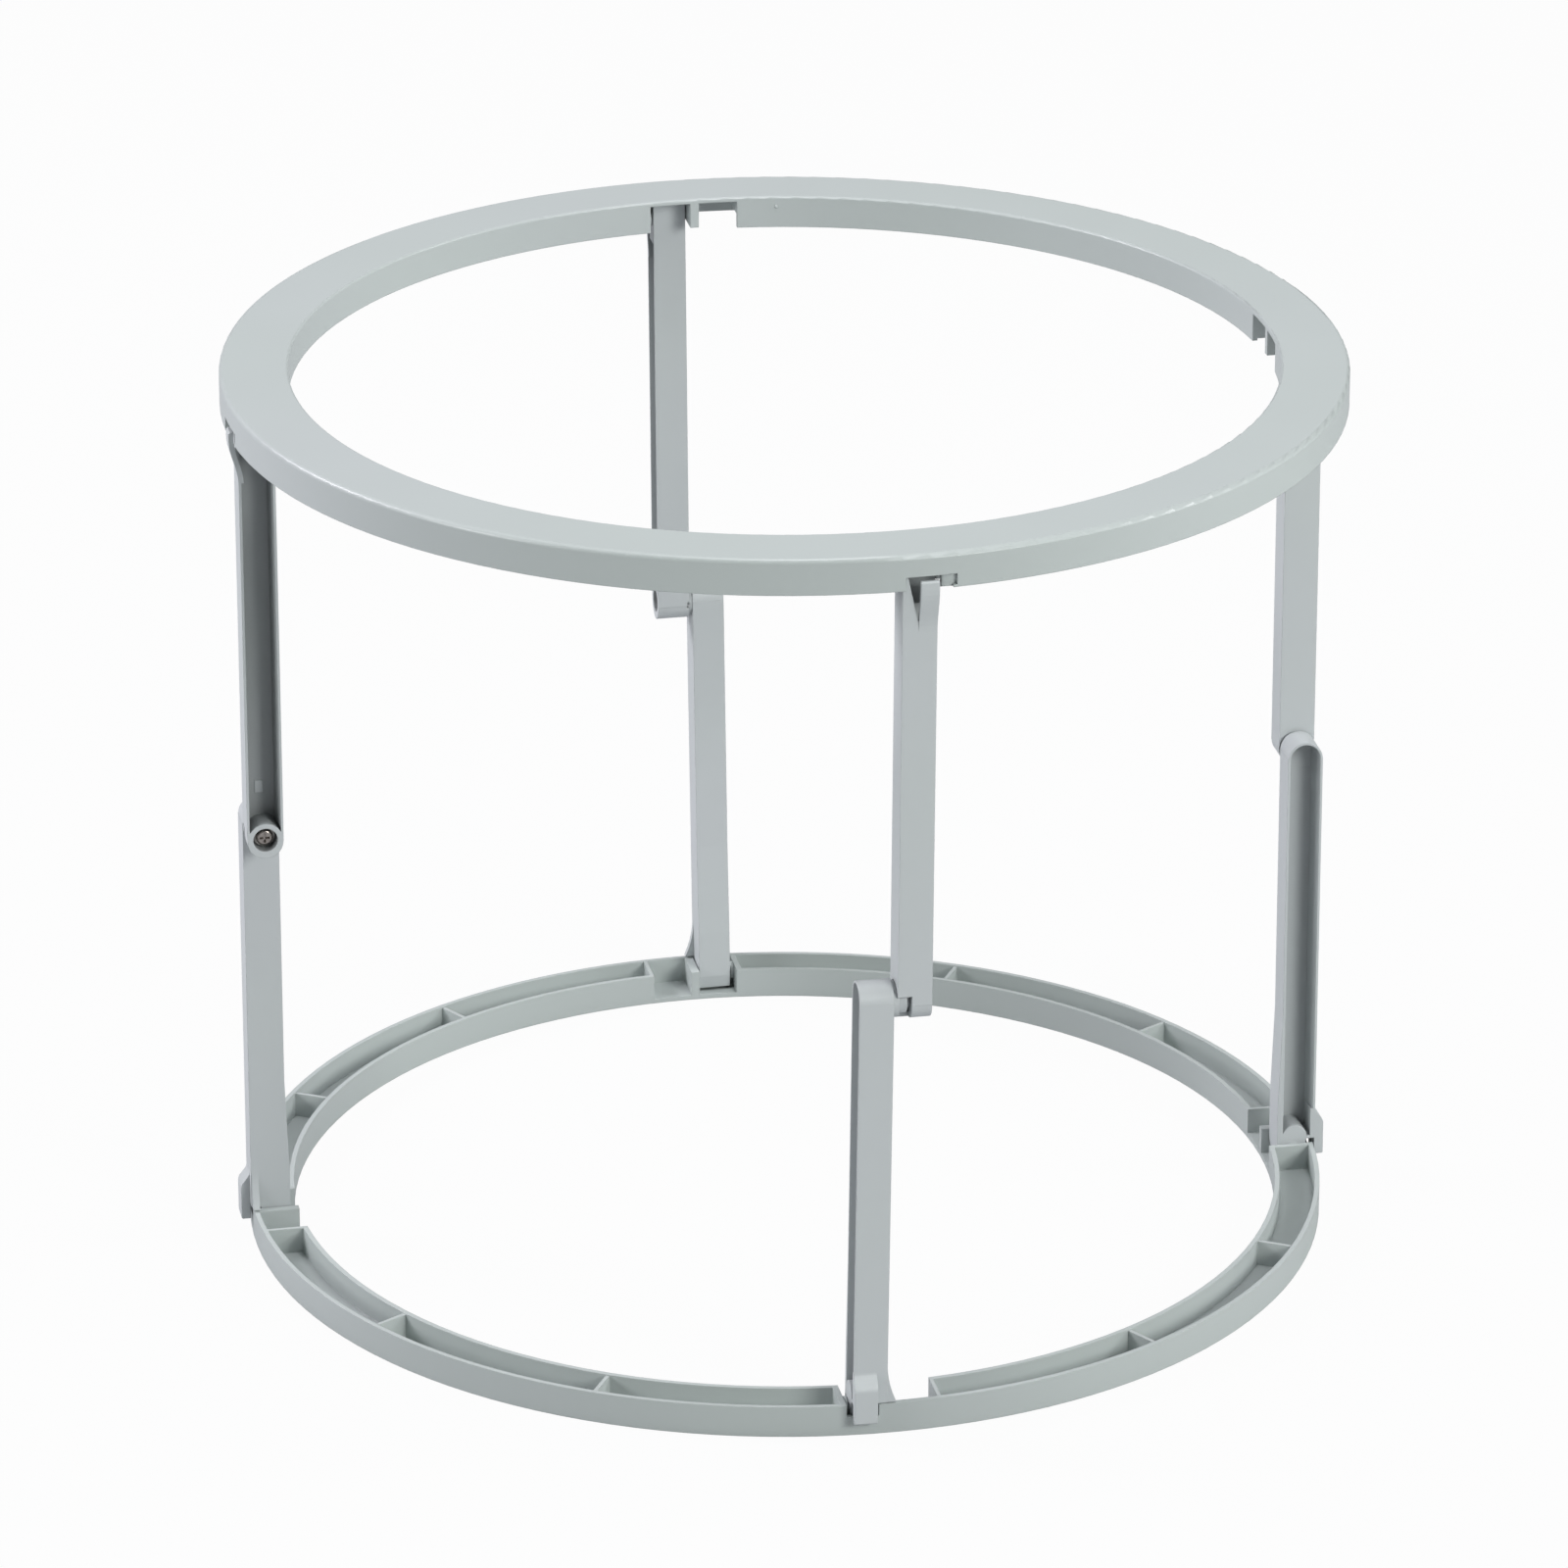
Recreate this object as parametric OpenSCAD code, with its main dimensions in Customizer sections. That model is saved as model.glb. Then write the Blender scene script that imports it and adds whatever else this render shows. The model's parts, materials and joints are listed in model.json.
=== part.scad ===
// Folding ring stand: a flat top ring, a channel base ring and four legs that
// fold inwards. Each leg is two channel links side by side, joined at a screwed
// knuckle, so that the top ring comes straight down onto the base ring.
// Millimetres, +Z up, origin on the floor at the centre of the rings.
//
// A leg is drawn along +X and turned into place. In its own frame x is the
// radius, y runs along the hinge axes and z is up. The upper link lies on the
// +y side, the lower link on the -y side.

/* [Overall] */
// Outer diameter of the top ring
top_ring_d = 400; // [380:2:440]
// Height of the open stand
stand_h = 328; // [260:2:380]
// Turn of the lower link from upright to folded flat, in degrees
fold_angle = 89; // [80:0.1:89]

/* [Top ring] */
// Radial width of the flat top
top_face_w = 24.4; // [23.6:0.2:30]
// Depth of the outer skirt
top_skirt_h = 12.8; // [12.2:0.1:13.2]
// Depth of the inner skirt
top_inner_h = 12; // [8:0.1:12.4]
// Thickness of the flat top
top_plate_t = 1.8; // [1.4:0.1:2]
// Radius of the outer top edge
top_edge_r = 1.6; // [0.8:0.1:1.8]
// Radius of the inner top edge
top_lip_r = 0.8; // [0.4:0.1:1.4]
// Height of the notch in the outer skirt above its lower edge
skirt_notch_h = 4.8; // [4:0.1:6]

/* [Base ring] */
// Radial width of the base channel
base_w = 16.4; // [16:0.2:18]
// Height of the base channel
base_h = 11.4; // [10:0.1:11.8]
// Thickness of the base channel's floor
base_floor_t = 1.8; // [1.2:0.1:2.2]
// Radial gap between the base ring and the top ring's skirt when folded
nest_gap = 1.6; // [1.2:0.1:2.4]

/* [Ring walls and ribs] */
// Thickness of the ring walls
ring_wall = 1.8; // [1.4:0.1:2.2]
// Thickness of the plain stiffening ribs
rib_t = 1.4; // [1:0.1:2]
// Angle between a leg and the plain rib on either side of it
rib_angle = 31; // [24:1:38]
// Height of the plain ribs under the flat top
top_rib_h = 7; // [4:0.5:9]

/* [Hinge brackets] */
// Thickness of the divider between the two link bays
divider_t = 3.2; // [2.4:0.1:3.6]
// Distance from the leg's middle plane to the divider's middle
divider_shift = 0.4; // [0:0.1:0.8]
// Thickness of the outer ears
ear_t = 2.1; // [1.8:0.1:3]
// Distance from the leg's middle plane to an ear
ear_offset = 16.4; // [16.2:0.1:19]
// Distance from the middle plane to the far side of the base ring's empty bay
base_bay = 16; // [15.8:0.1:16.6]
// Radius of the hinge pins
pin_r = 1.5; // [1.2:0.1:1.8]
// Height of the lower hinge above the floor
base_pivot_z = 7.8; // [7.6:0.1:8.2]
// Depth of the upper hinge below the flat top
top_pivot_drop = 10.3; // [10:0.1:10.6]

/* [Links] */
// Depth of a link, measured along the radius
link_d = 13; // [12:0.2:14]
// Width of a link, measured along the hinge axes
link_w = 12; // [11:0.2:12.4]
// Thickness of a link's web
web_t = 2; // [1.4:0.1:3]
// Thickness of a link's flanges at the web
flange_t = 1.8; // [1.5:0.1:2.4]
// Thickness of a link's flanges at their free edge
flange_tip_t = 0.9; // [0.8:0.1:1.4]
// Gap between the two links at the knuckle
link_gap = 1.2; // [0.8:0.1:1.6]
// Sideways lean of the upper link, measured at its ring hinge
splay_up = 1; // [0.9:0.1:1.4]
// Sideways lean of the lower link, measured at its ring hinge
splay_low = 1.9; // [1.7:0.1:2.3]
// Height above the floor at which the lower link becomes deeper
foot_top_z = 62; // [30:1:90]

/* [Knuckle] */
// Reach of the links' round ends beyond the knuckle's axis
knuckle_reach = 7.1; // [6.8:0.1:9]
// Radius of the turret on the lower link
turret_r = 5.2; // [4.6:0.1:5.4]
// Distance from the leg's middle plane to the turret's end
turret_y = 4.2; // [3:0.1:4.8]
// Width of the dark groove between the turret and the upper link
groove_w = 1.4; // [0.8:0.1:1.8]
// Height above the knuckle's axis up to which the upper link is open
window_h = 2.8; // [1.5:0.1:3.4]
// Thickness of the upper link's cap between the turret and the washer
cap_t = 1.8; // [1.6:0.1:2.6]
// Radius of the screw recess
recess_r = 4.4; // [4.2:0.1:4.8]
// Radius of the screw's shank
screw_r = 2; // [1.5:0.1:2.4]
// Radius of the screw's head
screw_head_r = 3.1; // [2.8:0.1:3.4]
// Height of the screw's head
screw_head_h = 2.2; // [1.6:0.1:2.4]
// Length of the screw's shank
screw_l = 10; // [9:0.2:10.2]
// Radius of the washer
washer_r = 3.9; // [3.6:0.1:4.1]
// Thickness of the washer
washer_t = 0.8; // [0.5:0.1:1]

/* [Fingers] */
// Width of the snap finger on the upper link
top_finger_w = 6.4; // [5.6:0.2:7.6]
// How far the snap finger stands out from the link
top_finger_out = 3.2; // [2.4:0.1:3.4]
// Length of the free part of the snap finger
top_finger_l = 15; // [12:1:20]
// Width of the slit beside the snap finger at its mouth
slit_w = 4.2; // [3:0.1:4.8]
// Width of the tab on the lower link
foot_tab_w = 8.2; // [6:0.2:9]
// How far the tab stands out from the link
foot_tab_out = 3.2; // [2.6:0.1:3.6]
// Height of the tab's lower edge above the floor
foot_tab_z = 5.6; // [5:0.1:7]
// Height of the tab's upper edge above the floor
foot_tab_top = 24; // [20:1:32]

/* [Hidden] */

// Directions of the legs about +Z
front = 270;
right = 0;
back = 90;
left = 180;
legs = [front, right, back, left];

// Clearances
sweep_gap = 0.4;
run_gap = 0.05;
top_run_gap = 0.1;
pin_seat_gap = 0.03;
side_gap = 0.3;
skirt_gap = 0.4;

// How far a cut passes a face, and how far a joined piece reaches into its neighbour
cut = 1;
bury = 0.5;

// Rings
top_r = top_ring_d / 2;
top_in_r = top_r - top_face_w;
skirt_in_r = top_r - ring_wall;
base_r = skirt_in_r - nest_gap;
base_in_r = base_r - base_w;
channel_w = base_w - 2 * ring_wall;
bracket_h = top_skirt_h - 1.6;
wall_reach = 0.2;
gap_reach = 1.5;
low_rib_drop = 0.4;
pin_seat_l = 1.1;

// Link faces, measured along the hinge axis
near_y = link_gap / 2;
far_y = near_y + link_w;
web_y = near_y + web_t;
divider_up_y = divider_t / 2 - divider_shift;
divider_low_y = divider_t / 2 + divider_shift;
top_collar_y = divider_up_y + side_gap;
base_collar_y = divider_low_y + side_gap;
top_hub_y = far_y + splay_up + side_gap;
base_hub_y = far_y + splay_low + side_gap;

// Hinge places
pivot_r = base_r - base_w / 2;
top_pivot_z = stand_h - top_pivot_drop;
knuckle_z = (base_pivot_z + top_pivot_z) / 2;
link_out_r = sqrt(pow(skirt_in_r, 2) - pow(far_y + splay_low, 2)) - skirt_gap;
link_in_r = link_out_r - link_d;
knuckle_r = link_out_r - link_d / 2;
half_rise = top_pivot_z - knuckle_z;
lean_up = atan(splay_up / half_rise);
lean_low = atan(splay_low / half_rise);

// Ends of the links
base_hub_r = base_pivot_z - base_floor_t - sweep_gap;
top_hub_r = top_pivot_drop - top_plate_t - sweep_gap;
collar_r = pin_r + 1.9;
shoulder_z = base_h + 2 * side_gap;
foot_inset = 0.2;
foot_in_r = pivot_r - base_hub_r + foot_inset;
foot_taper = 0.8;
foot_floor_t = 0.8;
foot_corner_r = base_pivot_z - foot_floor_t - side_gap;
foot_bottom_z = base_pivot_z - sqrt(pow(foot_corner_r, 2) - pow(pivot_r - foot_in_r - foot_taper, 2));
foot_pocket_l = sqrt(pow(foot_corner_r, 2) - pow(base_pivot_z - base_floor_t - side_gap, 2)) + side_gap;
foot_slope_h = 0.72 * (foot_top_z - shoulder_z);
foot_boss_shift = 1.2;
foot_tab_in_r = base_r + 0.5;
foot_tab_slope_h = 6;
foot_tab_chamfer = 0.4;
end_inset = 0.1;
end_r = link_d / 2 - end_inset;
end_drop = knuckle_reach - end_r;
disc_r = end_r - 0.2;
disc_y = near_y + 0.7;
boss_y = near_y + 0.5;
spigot_r = 3.4;
socket_y = turret_y + groove_w;
seat_y = socket_y + cap_t;
channel_end_gap = 1.6;
boss_r = end_r - 0.2;
pocket_r = link_d / 2 - flange_t;
pocket_mouth_r = link_d / 2 - flange_tip_t;
foot_boss_r = pocket_r - 0.1;
foot_boss_z = shoulder_z + base_hub_r - foot_boss_r;
foot_channel_z = shoulder_z + 1;
shank_start_y = seat_y + run_gap + washer_t;
shank_end_y = shank_start_y - screw_l;
shank_end_gap = 0.4;
cross_w = 0.8;
cross_l = 3.6;
cross_depth = 1.3;

// Fingers and their notches
flare_steps = 8;
relief_t = 2.8;
face_top_z = top_pivot_z + 2;
finger_top_z = top_pivot_z + 0.6;
finger_root_h = 4;
finger_chamfer = 0.6;
finger_near_y = far_y - top_finger_w;
skirt_notch_near_y = divider_up_y + 0.9;
skirt_notch_far_y = ear_offset + ear_t + 1.3;
skirt_notch_lip = 0.9;
skirt_notch_back = 3;
foot_tab_near_y = far_y - foot_tab_w;
tab_notch_gap = 1.2;
tab_notch_z = 7;
foot_flare_w = 3.4;
foot_flare_h = 15;
gusset_inset = 0.25;

plastic = [0.69, 0.73, 0.73];
steel = [0.72, 0.72, 0.70];
$fn = 96;

// ---- Helpers in a leg's own frame ----

// A flat shape drawn as (radius, height), filled from y0 to y1
module across(y0, y1) {
    translate([0, y1, 0]) rotate([90, 0, 0]) linear_extrude(y1 - y0) children();
}

// A cylinder along the hinge axis
module axle(r, y0, y1, at_r, at_z) {
    translate([at_r, y1, at_z]) rotate([90, 0, 0]) cylinder(r = r, h = y1 - y0);
}

// A block given by its limits along radius, hinge axis and height
module block(r0, r1, y0, y1, z0, z1) {
    translate([r0, y0, z0]) cube([r1 - r0, y1 - y0, z1 - z0]);
}

// Leans a link sideways about the knuckle, away from its partner
module leaned(lean) {
    translate([knuckle_r, 0, knuckle_z])
        rotate([-lean, 0, 0])
            translate([-knuckle_r, 0, -knuckle_z]) children();
}

module at_leg(angle) {
    rotate([0, 0, angle]) children();
}

// A ring-shaped band
module band(r_in, r_out, z0, z1) {
    difference() {
        translate([0, 0, z0]) cylinder(r = r_out, h = z1 - z0, $fn = 240);
        translate([0, 0, z0 - cut]) cylinder(r = r_in, h = z1 - z0 + 2 * cut, $fn = 240);
    }
}

// ---- Top ring ----

module top_profile() {
    translate([skirt_in_r, stand_h - top_skirt_h]) square([ring_wall, top_skirt_h - top_edge_r]);
    translate([top_in_r, stand_h - top_inner_h]) square([ring_wall, top_inner_h - top_lip_r]);
    translate([top_in_r + top_lip_r, stand_h - top_plate_t])
        square([top_face_w - top_lip_r - top_edge_r, top_plate_t]);
    translate([top_r - top_edge_r, stand_h - top_edge_r]) circle(r = top_edge_r, $fn = 48);
    translate([top_in_r + top_lip_r, stand_h - top_lip_r]) circle(r = top_lip_r, $fn = 48);
}

// Divider, ears and bearing boss of one leg under the flat top
module top_bracket() {
    low = stand_h - bracket_h;
    high = stand_h - top_plate_t / 2;
    block(top_in_r, skirt_in_r + cut, -divider_low_y, divider_up_y, low, high);
    block(top_in_r, skirt_in_r + cut, ear_offset, ear_offset + ear_t, low, high);
    block(top_in_r, skirt_in_r + cut, -ear_offset - ear_t, -ear_offset, stand_h - top_rib_h, high);
    // Plate behind the end of the skirt's notch
    block(skirt_in_r - skirt_notch_back - rib_t, skirt_in_r - skirt_notch_back,
        ear_offset, skirt_notch_far_y + rib_t, low, high);
    axle(collar_r, top_hub_y + side_gap, ear_offset + bury, pivot_r, top_pivot_z);
}

// Gaps in the inner skirt that let both links through when folded, with the skirt between
// them trimmed to the divider's depth
module top_link_gaps() {
    low = stand_h - top_inner_h - cut;
    high = stand_h - top_plate_t;
    wall_front = top_in_r - gap_reach;
    wall_back = top_in_r + ring_wall + cut;
    block(wall_front, wall_back, divider_up_y, ear_offset, low, high);
    block(wall_front, wall_back, -ear_offset, -divider_low_y, low, high);
    block(wall_front, wall_back, -ear_offset, ear_offset, low, stand_h - bracket_h);
}

// Notch in the outer skirt: open below beside the snap finger, with a lip below its far end
module top_skirt_notch() {
    skirt_low = stand_h - top_skirt_h;
    skirt_front = skirt_in_r - bury;
    block(skirt_front, top_r + cut, skirt_notch_near_y, ear_offset + ear_t,
        skirt_low - cut, skirt_low + skirt_notch_h);
    block(skirt_front, top_r + cut, ear_offset, skirt_notch_far_y,
        skirt_low + skirt_notch_lip, skirt_low + skirt_notch_h);
}

module top_ring() {
    color(plastic) difference() {
        union() {
            difference() {
                rotate_extrude($fn = 240) top_profile();
                for (a = legs) at_leg(a) top_link_gaps();
            }
            intersection() {
                union() {
                    for (a = legs) at_leg(a) top_bracket();
                    for (a = legs, side = [-1, 1]) at_leg(a + side * rib_angle)
                        block(top_in_r, skirt_in_r + cut, -rib_t / 2, rib_t / 2,
                            stand_h - top_rib_h, stand_h - top_plate_t / 2);
                }
                band(top_in_r + wall_reach, skirt_in_r + bury, stand_h - top_skirt_h, stand_h - bury);
            }
        }
        for (a = legs) at_leg(a) {
            top_skirt_notch();
            axle(pin_r + pin_seat_gap, divider_up_y - pin_seat_l, ear_offset + pin_seat_l,
                pivot_r, top_pivot_z);
        }
    }
}

// ---- Base ring ----

module base_profile() {
    translate([base_in_r, 0]) square([base_w, base_floor_t]);
    translate([base_in_r, 0]) square([ring_wall, base_h]);
    translate([base_r - ring_wall, 0]) square([ring_wall, base_h]);
}

// Divider, ears and bearing boss of one leg in the base channel
module base_bracket() {
    block(base_in_r, base_r, -divider_low_y, divider_up_y, base_floor_t / 2, base_h);
    block(base_in_r, base_r, -ear_offset - ear_t, -ear_offset, base_floor_t / 2, base_h);
    block(base_in_r, base_r, base_bay, base_bay + rib_t, base_floor_t / 2, base_h);
    axle(collar_r, -ear_offset - bury, -base_hub_y - side_gap, pivot_r, base_pivot_z);
}

// Gaps in the base ring's inner wall, a pocket in its floor that the foot turns in,
// and the tab's notch in its outer wall
module base_link_gaps() {
    wall_front = base_in_r - gap_reach;
    wall_back = base_in_r + ring_wall + cut;
    block(wall_front, wall_back, divider_up_y, base_bay, base_floor_t, base_h + cut);
    block(wall_front, wall_back, -ear_offset, -divider_low_y, base_floor_t, base_h + cut);
    block(pivot_r - foot_pocket_l, pivot_r + foot_pocket_l, -ear_offset, -divider_low_y,
        foot_floor_t, base_floor_t + cut);
    block(base_r - ring_wall - cut, base_r + cut, -ear_offset,
        -foot_tab_near_y - splay_low + tab_notch_gap, tab_notch_z, base_h + cut);
}

module base_ring() {
    color(plastic) difference() {
        union() {
            difference() {
                rotate_extrude($fn = 240) base_profile();
                for (a = legs) at_leg(a) base_link_gaps();
            }
            intersection() {
                union() {
                    for (a = legs) at_leg(a) base_bracket();
                    for (a = legs, side = [-1, 1]) at_leg(a + side * rib_angle)
                        block(base_in_r, base_r, -rib_t / 2, rib_t / 2,
                            base_floor_t / 2, base_h - low_rib_drop);
                }
                band(base_in_r + wall_reach, base_r - ring_wall + bury, 0, base_h);
            }
        }
        for (a = legs) at_leg(a)
            axle(pin_r + pin_seat_gap, -ear_offset - pin_seat_l, -divider_low_y + pin_seat_l,
                pivot_r, base_pivot_z);
    }
}

// ---- Links ----

// Trapezoid channel between a link's two flanges, which get thinner towards their free edge;
// side is 1 for the upper link and -1 for the lower link
module channel(side, z0, z1) {
    open_y = far_y + cut;
    spread = (flange_t - flange_tip_t) * (open_y - web_y) / (far_y - web_y);
    deep = flange_t;
    wide = flange_t - spread;
    translate([0, 0, z0]) linear_extrude(z1 - z0)
        polygon([[link_in_r + deep, side * web_y], [link_out_r - deep, side * web_y],
            [link_out_r - wide, side * open_y], [link_in_r + wide, side * open_y]]);
}

// ---- Upper link ----

// Side outline of the upper link, with a round end that clears the flat top
module upper_side_shape() {
    translate([link_in_r, knuckle_z - end_drop]) square([link_d, face_top_z - knuckle_z + end_drop]);
    intersection() {
        translate([pivot_r, top_pivot_z]) circle(r = top_hub_r);
        translate([link_in_r, top_pivot_z]) square([link_out_r - link_in_r, top_hub_r]);
    }
}

// Distance that a flared flange stands out, from 0 to 1 along its flare
function flare(t) = t * t * (3 - 2 * t);

// Snap finger: the outer flange bows out below the ring's skirt
module finger_shape() {
    start_z = finger_top_z - top_finger_l - finger_root_h;
    flare_h = top_finger_l + 1;
    outline = [for (i = [0:flare_steps])
        [top_finger_out * flare(i / flare_steps), start_z + flare_h * i / flare_steps]];
    polygon(concat(
        [for (p = outline) [link_out_r + p[0], p[1]]],
        [[link_out_r + top_finger_out, finger_top_z - finger_chamfer],
            [link_out_r + top_finger_out - finger_chamfer, finger_top_z],
            [link_out_r + top_finger_out - flange_t, finger_top_z]],
        [for (i = [flare_steps:-1:0]) [link_out_r - flange_t + outline[i][0], outline[i][1]]]));
}

// Window behind and beside the finger, with a slanting near side
module finger_window() {
    low = finger_top_z - top_finger_l;
    high = face_top_z + cut;
    translate([link_out_r - flange_t - relief_t, 0, 0]) rotate([90, 0, 90])
        linear_extrude(flange_t + relief_t + cut)
            polygon([[finger_near_y - side_gap, low], [far_y + cut, low], [far_y + cut, high],
                [finger_near_y - slit_w, high]]);
}

module upper_link() {
    color(plastic) difference() {
        union() {
            leaned(lean_up) {
                difference() {
                    across(near_y, far_y) upper_side_shape();
                    finger_window();
                    channel(1, knuckle_z + boss_r / 2, top_pivot_z - top_hub_r - channel_end_gap);
                }
                across(finger_near_y, far_y) finger_shape();
            }
            axle(end_r, near_y, far_y, knuckle_r, knuckle_z - end_drop);
            axle(boss_r, boss_y, far_y, knuckle_r, knuckle_z);
            axle(collar_r, top_collar_y, top_hub_y, pivot_r, top_pivot_z);
        }
        // Socket for the lower link's disc and turret, open below
        axle(disc_r + side_gap, near_y - cut, disc_y + side_gap, knuckle_r, knuckle_z);
        axle(turret_r + side_gap, near_y - cut, socket_y, knuckle_r, knuckle_z);
        block(knuckle_r, link_out_r + cut, near_y - cut, socket_y,
            knuckle_z - knuckle_reach - cut, knuckle_z + window_h);
        axle(recess_r, seat_y, far_y + cut, knuckle_r, knuckle_z);
        axle(screw_r + run_gap, socket_y - cut, seat_y + cut, knuckle_r, knuckle_z);
        axle(pin_r + top_run_gap, top_collar_y - cut, top_hub_y + cut, pivot_r, top_pivot_z);
    }
}

// ---- Lower link ----

// Side outline of the lower link, whose foot fits between the base walls
module lower_side_shape() {
    foot_out_r = pivot_r + base_hub_r - foot_inset;
    translate([link_in_r, shoulder_z]) square([link_d, knuckle_z + end_drop - shoulder_z]);
    intersection() {
        translate([pivot_r, base_pivot_z]) circle(r = base_hub_r);
        translate([pivot_r - cut, base_pivot_z - base_hub_r])
            square([foot_out_r - pivot_r + cut, 2 * base_hub_r]);
    }
    polygon([[foot_in_r + foot_taper, foot_bottom_z], [pivot_r, foot_bottom_z],
        [pivot_r, base_pivot_z], [foot_out_r, base_pivot_z],
        [foot_out_r, foot_top_z], [link_in_r, foot_top_z],
        [foot_in_r, foot_top_z - foot_slope_h], [foot_in_r, base_pivot_z]]);
}

// Tab that stands outside the base ring's outer wall
module foot_tab_shape() {
    tip_r = link_out_r + foot_tab_out;
    root_r = link_out_r - flange_t;
    root_z = shoulder_z + bury;
    outline = [for (i = [0:flare_steps])
        [foot_tab_out * flare(i / flare_steps), foot_tab_top - foot_tab_slope_h * i / flare_steps]];
    polygon(concat(
        [for (p = outline) [link_out_r + p[0], p[1]]],
        [[tip_r, foot_tab_z + foot_tab_chamfer], [tip_r - foot_tab_chamfer, foot_tab_z],
            [foot_tab_in_r, foot_tab_z], [foot_tab_in_r, root_z],
            [root_r, root_z], [root_r, foot_tab_top]]));
}

// Gusset that widens the foot towards the divider, above the base walls
module foot_gusset() {
    steps = [for (i = [0:flare_steps]) i / flare_steps];
    translate([link_out_r - flange_t - cut, 0, 0]) rotate([90, 0, 90])
        linear_extrude(flange_t + cut - gusset_inset)
            polygon(concat([[-near_y - bury, shoulder_z]],
                [for (t = steps) [-near_y + foot_flare_w * pow(1 - t, 2), shoulder_z + foot_flare_h * t]],
                [[-near_y - bury, shoulder_z + foot_flare_h]]));
}

// Channel of the lower link, which runs down beside a round boss over the hinge
module lower_channel() {
    difference() {
        channel(-1, foot_channel_z, knuckle_z);
        translate([foot_boss_shift, 0, 0])
            axle(foot_boss_r, -far_y - 2 * cut, -web_y + cut, pivot_r, foot_boss_z);
    }
}

module lower_link() {
    color(plastic) difference() {
        union() {
            leaned(lean_low) {
                difference() {
                    across(-far_y, -near_y) lower_side_shape();
                    lower_channel();
                }
                across(-far_y, -foot_tab_near_y) foot_tab_shape();
                foot_gusset();
            }
            axle(end_r, -far_y, -near_y, knuckle_r, knuckle_z + end_drop);
            axle(disc_r, -near_y - cut, disc_y, knuckle_r, knuckle_z);
            axle(turret_r, -near_y - cut, turret_y, knuckle_r, knuckle_z);
            axle(spigot_r, -near_y - cut, socket_y - side_gap, knuckle_r, knuckle_z);
            axle(collar_r, -base_hub_y, -base_collar_y, pivot_r, base_pivot_z);
        }
        // Round upper end of the channel
        channel(-1, knuckle_z - end_r, knuckle_z + end_drop);
        translate([knuckle_r, -web_y, knuckle_z + end_drop]) rotate([90, 0, 0])
            cylinder(r1 = pocket_r, r2 = pocket_mouth_r, h = far_y - web_y);
        axle(pocket_mouth_r, -far_y - cut, -far_y, knuckle_r, knuckle_z + end_drop);
        axle(screw_r + pin_seat_gap, shank_end_y - shank_end_gap, socket_y + cut, knuckle_r, knuckle_z);
        axle(pin_r + run_gap, -base_hub_y - cut, -base_collar_y + cut, pivot_r, base_pivot_z);
    }
}

// ---- Fasteners ----

// Pan-head screw with a cross recess, head towards +y
module knuckle_screw() {
    head_y = shank_start_y + screw_head_h;
    color(steel) difference() {
        union() {
            axle(screw_r, shank_end_y, shank_start_y + bury, knuckle_r, knuckle_z);
            translate([knuckle_r, shank_start_y, knuckle_z]) rotate([-90, 0, 0])
                rotate_extrude() screw_head_profile();
        }
        for (turn = [0, 90])
            translate([knuckle_r, head_y, knuckle_z]) rotate([0, turn, 0])
                cube([cross_l, 2 * cross_depth, cross_w], center = true);
    }
}

// Half section of the screw's head with a rounded rim
module screw_head_profile() {
    rim = screw_head_h / 2;
    square([screw_head_r, rim]);
    square([screw_head_r - rim, screw_head_h]);
    translate([screw_head_r - rim, rim]) circle(r = rim, $fn = 48);
}

module knuckle_washer() {
    color(steel) difference() {
        axle(washer_r, seat_y + run_gap, shank_start_y, knuckle_r, knuckle_z);
        axle(screw_r + run_gap, seat_y, shank_start_y + cut, knuckle_r, knuckle_z);
    }
}

module top_pin() {
    color(steel) axle(pin_r, divider_up_y - pin_seat_l, ear_offset + pin_seat_l, pivot_r, top_pivot_z);
}

module base_pin() {
    color(steel) axle(pin_r, -ear_offset - pin_seat_l, -divider_low_y + pin_seat_l, pivot_r, base_pivot_z);
}

top_ring();
base_ring();
at_leg(front) upper_link();  // front_upper_link
at_leg(right) upper_link();  // right_upper_link
at_leg(back) upper_link();  // back_upper_link
at_leg(left) upper_link();  // left_upper_link
at_leg(front) lower_link();  // front_lower_link
at_leg(right) lower_link();  // right_lower_link
at_leg(back) lower_link();  // back_lower_link
at_leg(left) lower_link();  // left_lower_link
at_leg(front) knuckle_screw();  // front_knuckle_screw
at_leg(right) knuckle_screw();  // right_knuckle_screw
at_leg(back) knuckle_screw();  // back_knuckle_screw
at_leg(left) knuckle_screw();  // left_knuckle_screw
at_leg(front) knuckle_washer();  // front_knuckle_washer
at_leg(right) knuckle_washer();  // right_knuckle_washer
at_leg(back) knuckle_washer();  // back_knuckle_washer
at_leg(left) knuckle_washer();  // left_knuckle_washer
at_leg(front) top_pin();  // front_top_pin
at_leg(right) top_pin();  // right_top_pin
at_leg(back) top_pin();  // back_top_pin
at_leg(left) top_pin();  // left_top_pin
at_leg(front) base_pin();  // front_base_pin
at_leg(right) base_pin();  // right_base_pin
at_leg(back) base_pin();  // back_base_pin
at_leg(left) base_pin();  // left_base_pin
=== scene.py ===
# %% [markdown]
# # A folding ring stand, dressed for its portrait
#
# The stand is an injection moulded product: two rings, four folding legs, and a few steel
# fasteners. The engineering model already holds every moulding at its real size, so this
# lesson starts by loading that model, and then gives each piece the finish and the small
# moulded details that it has on the real object.

import json
import math

import bmesh
import bpy
from mathutils import Matrix, Vector


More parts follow.
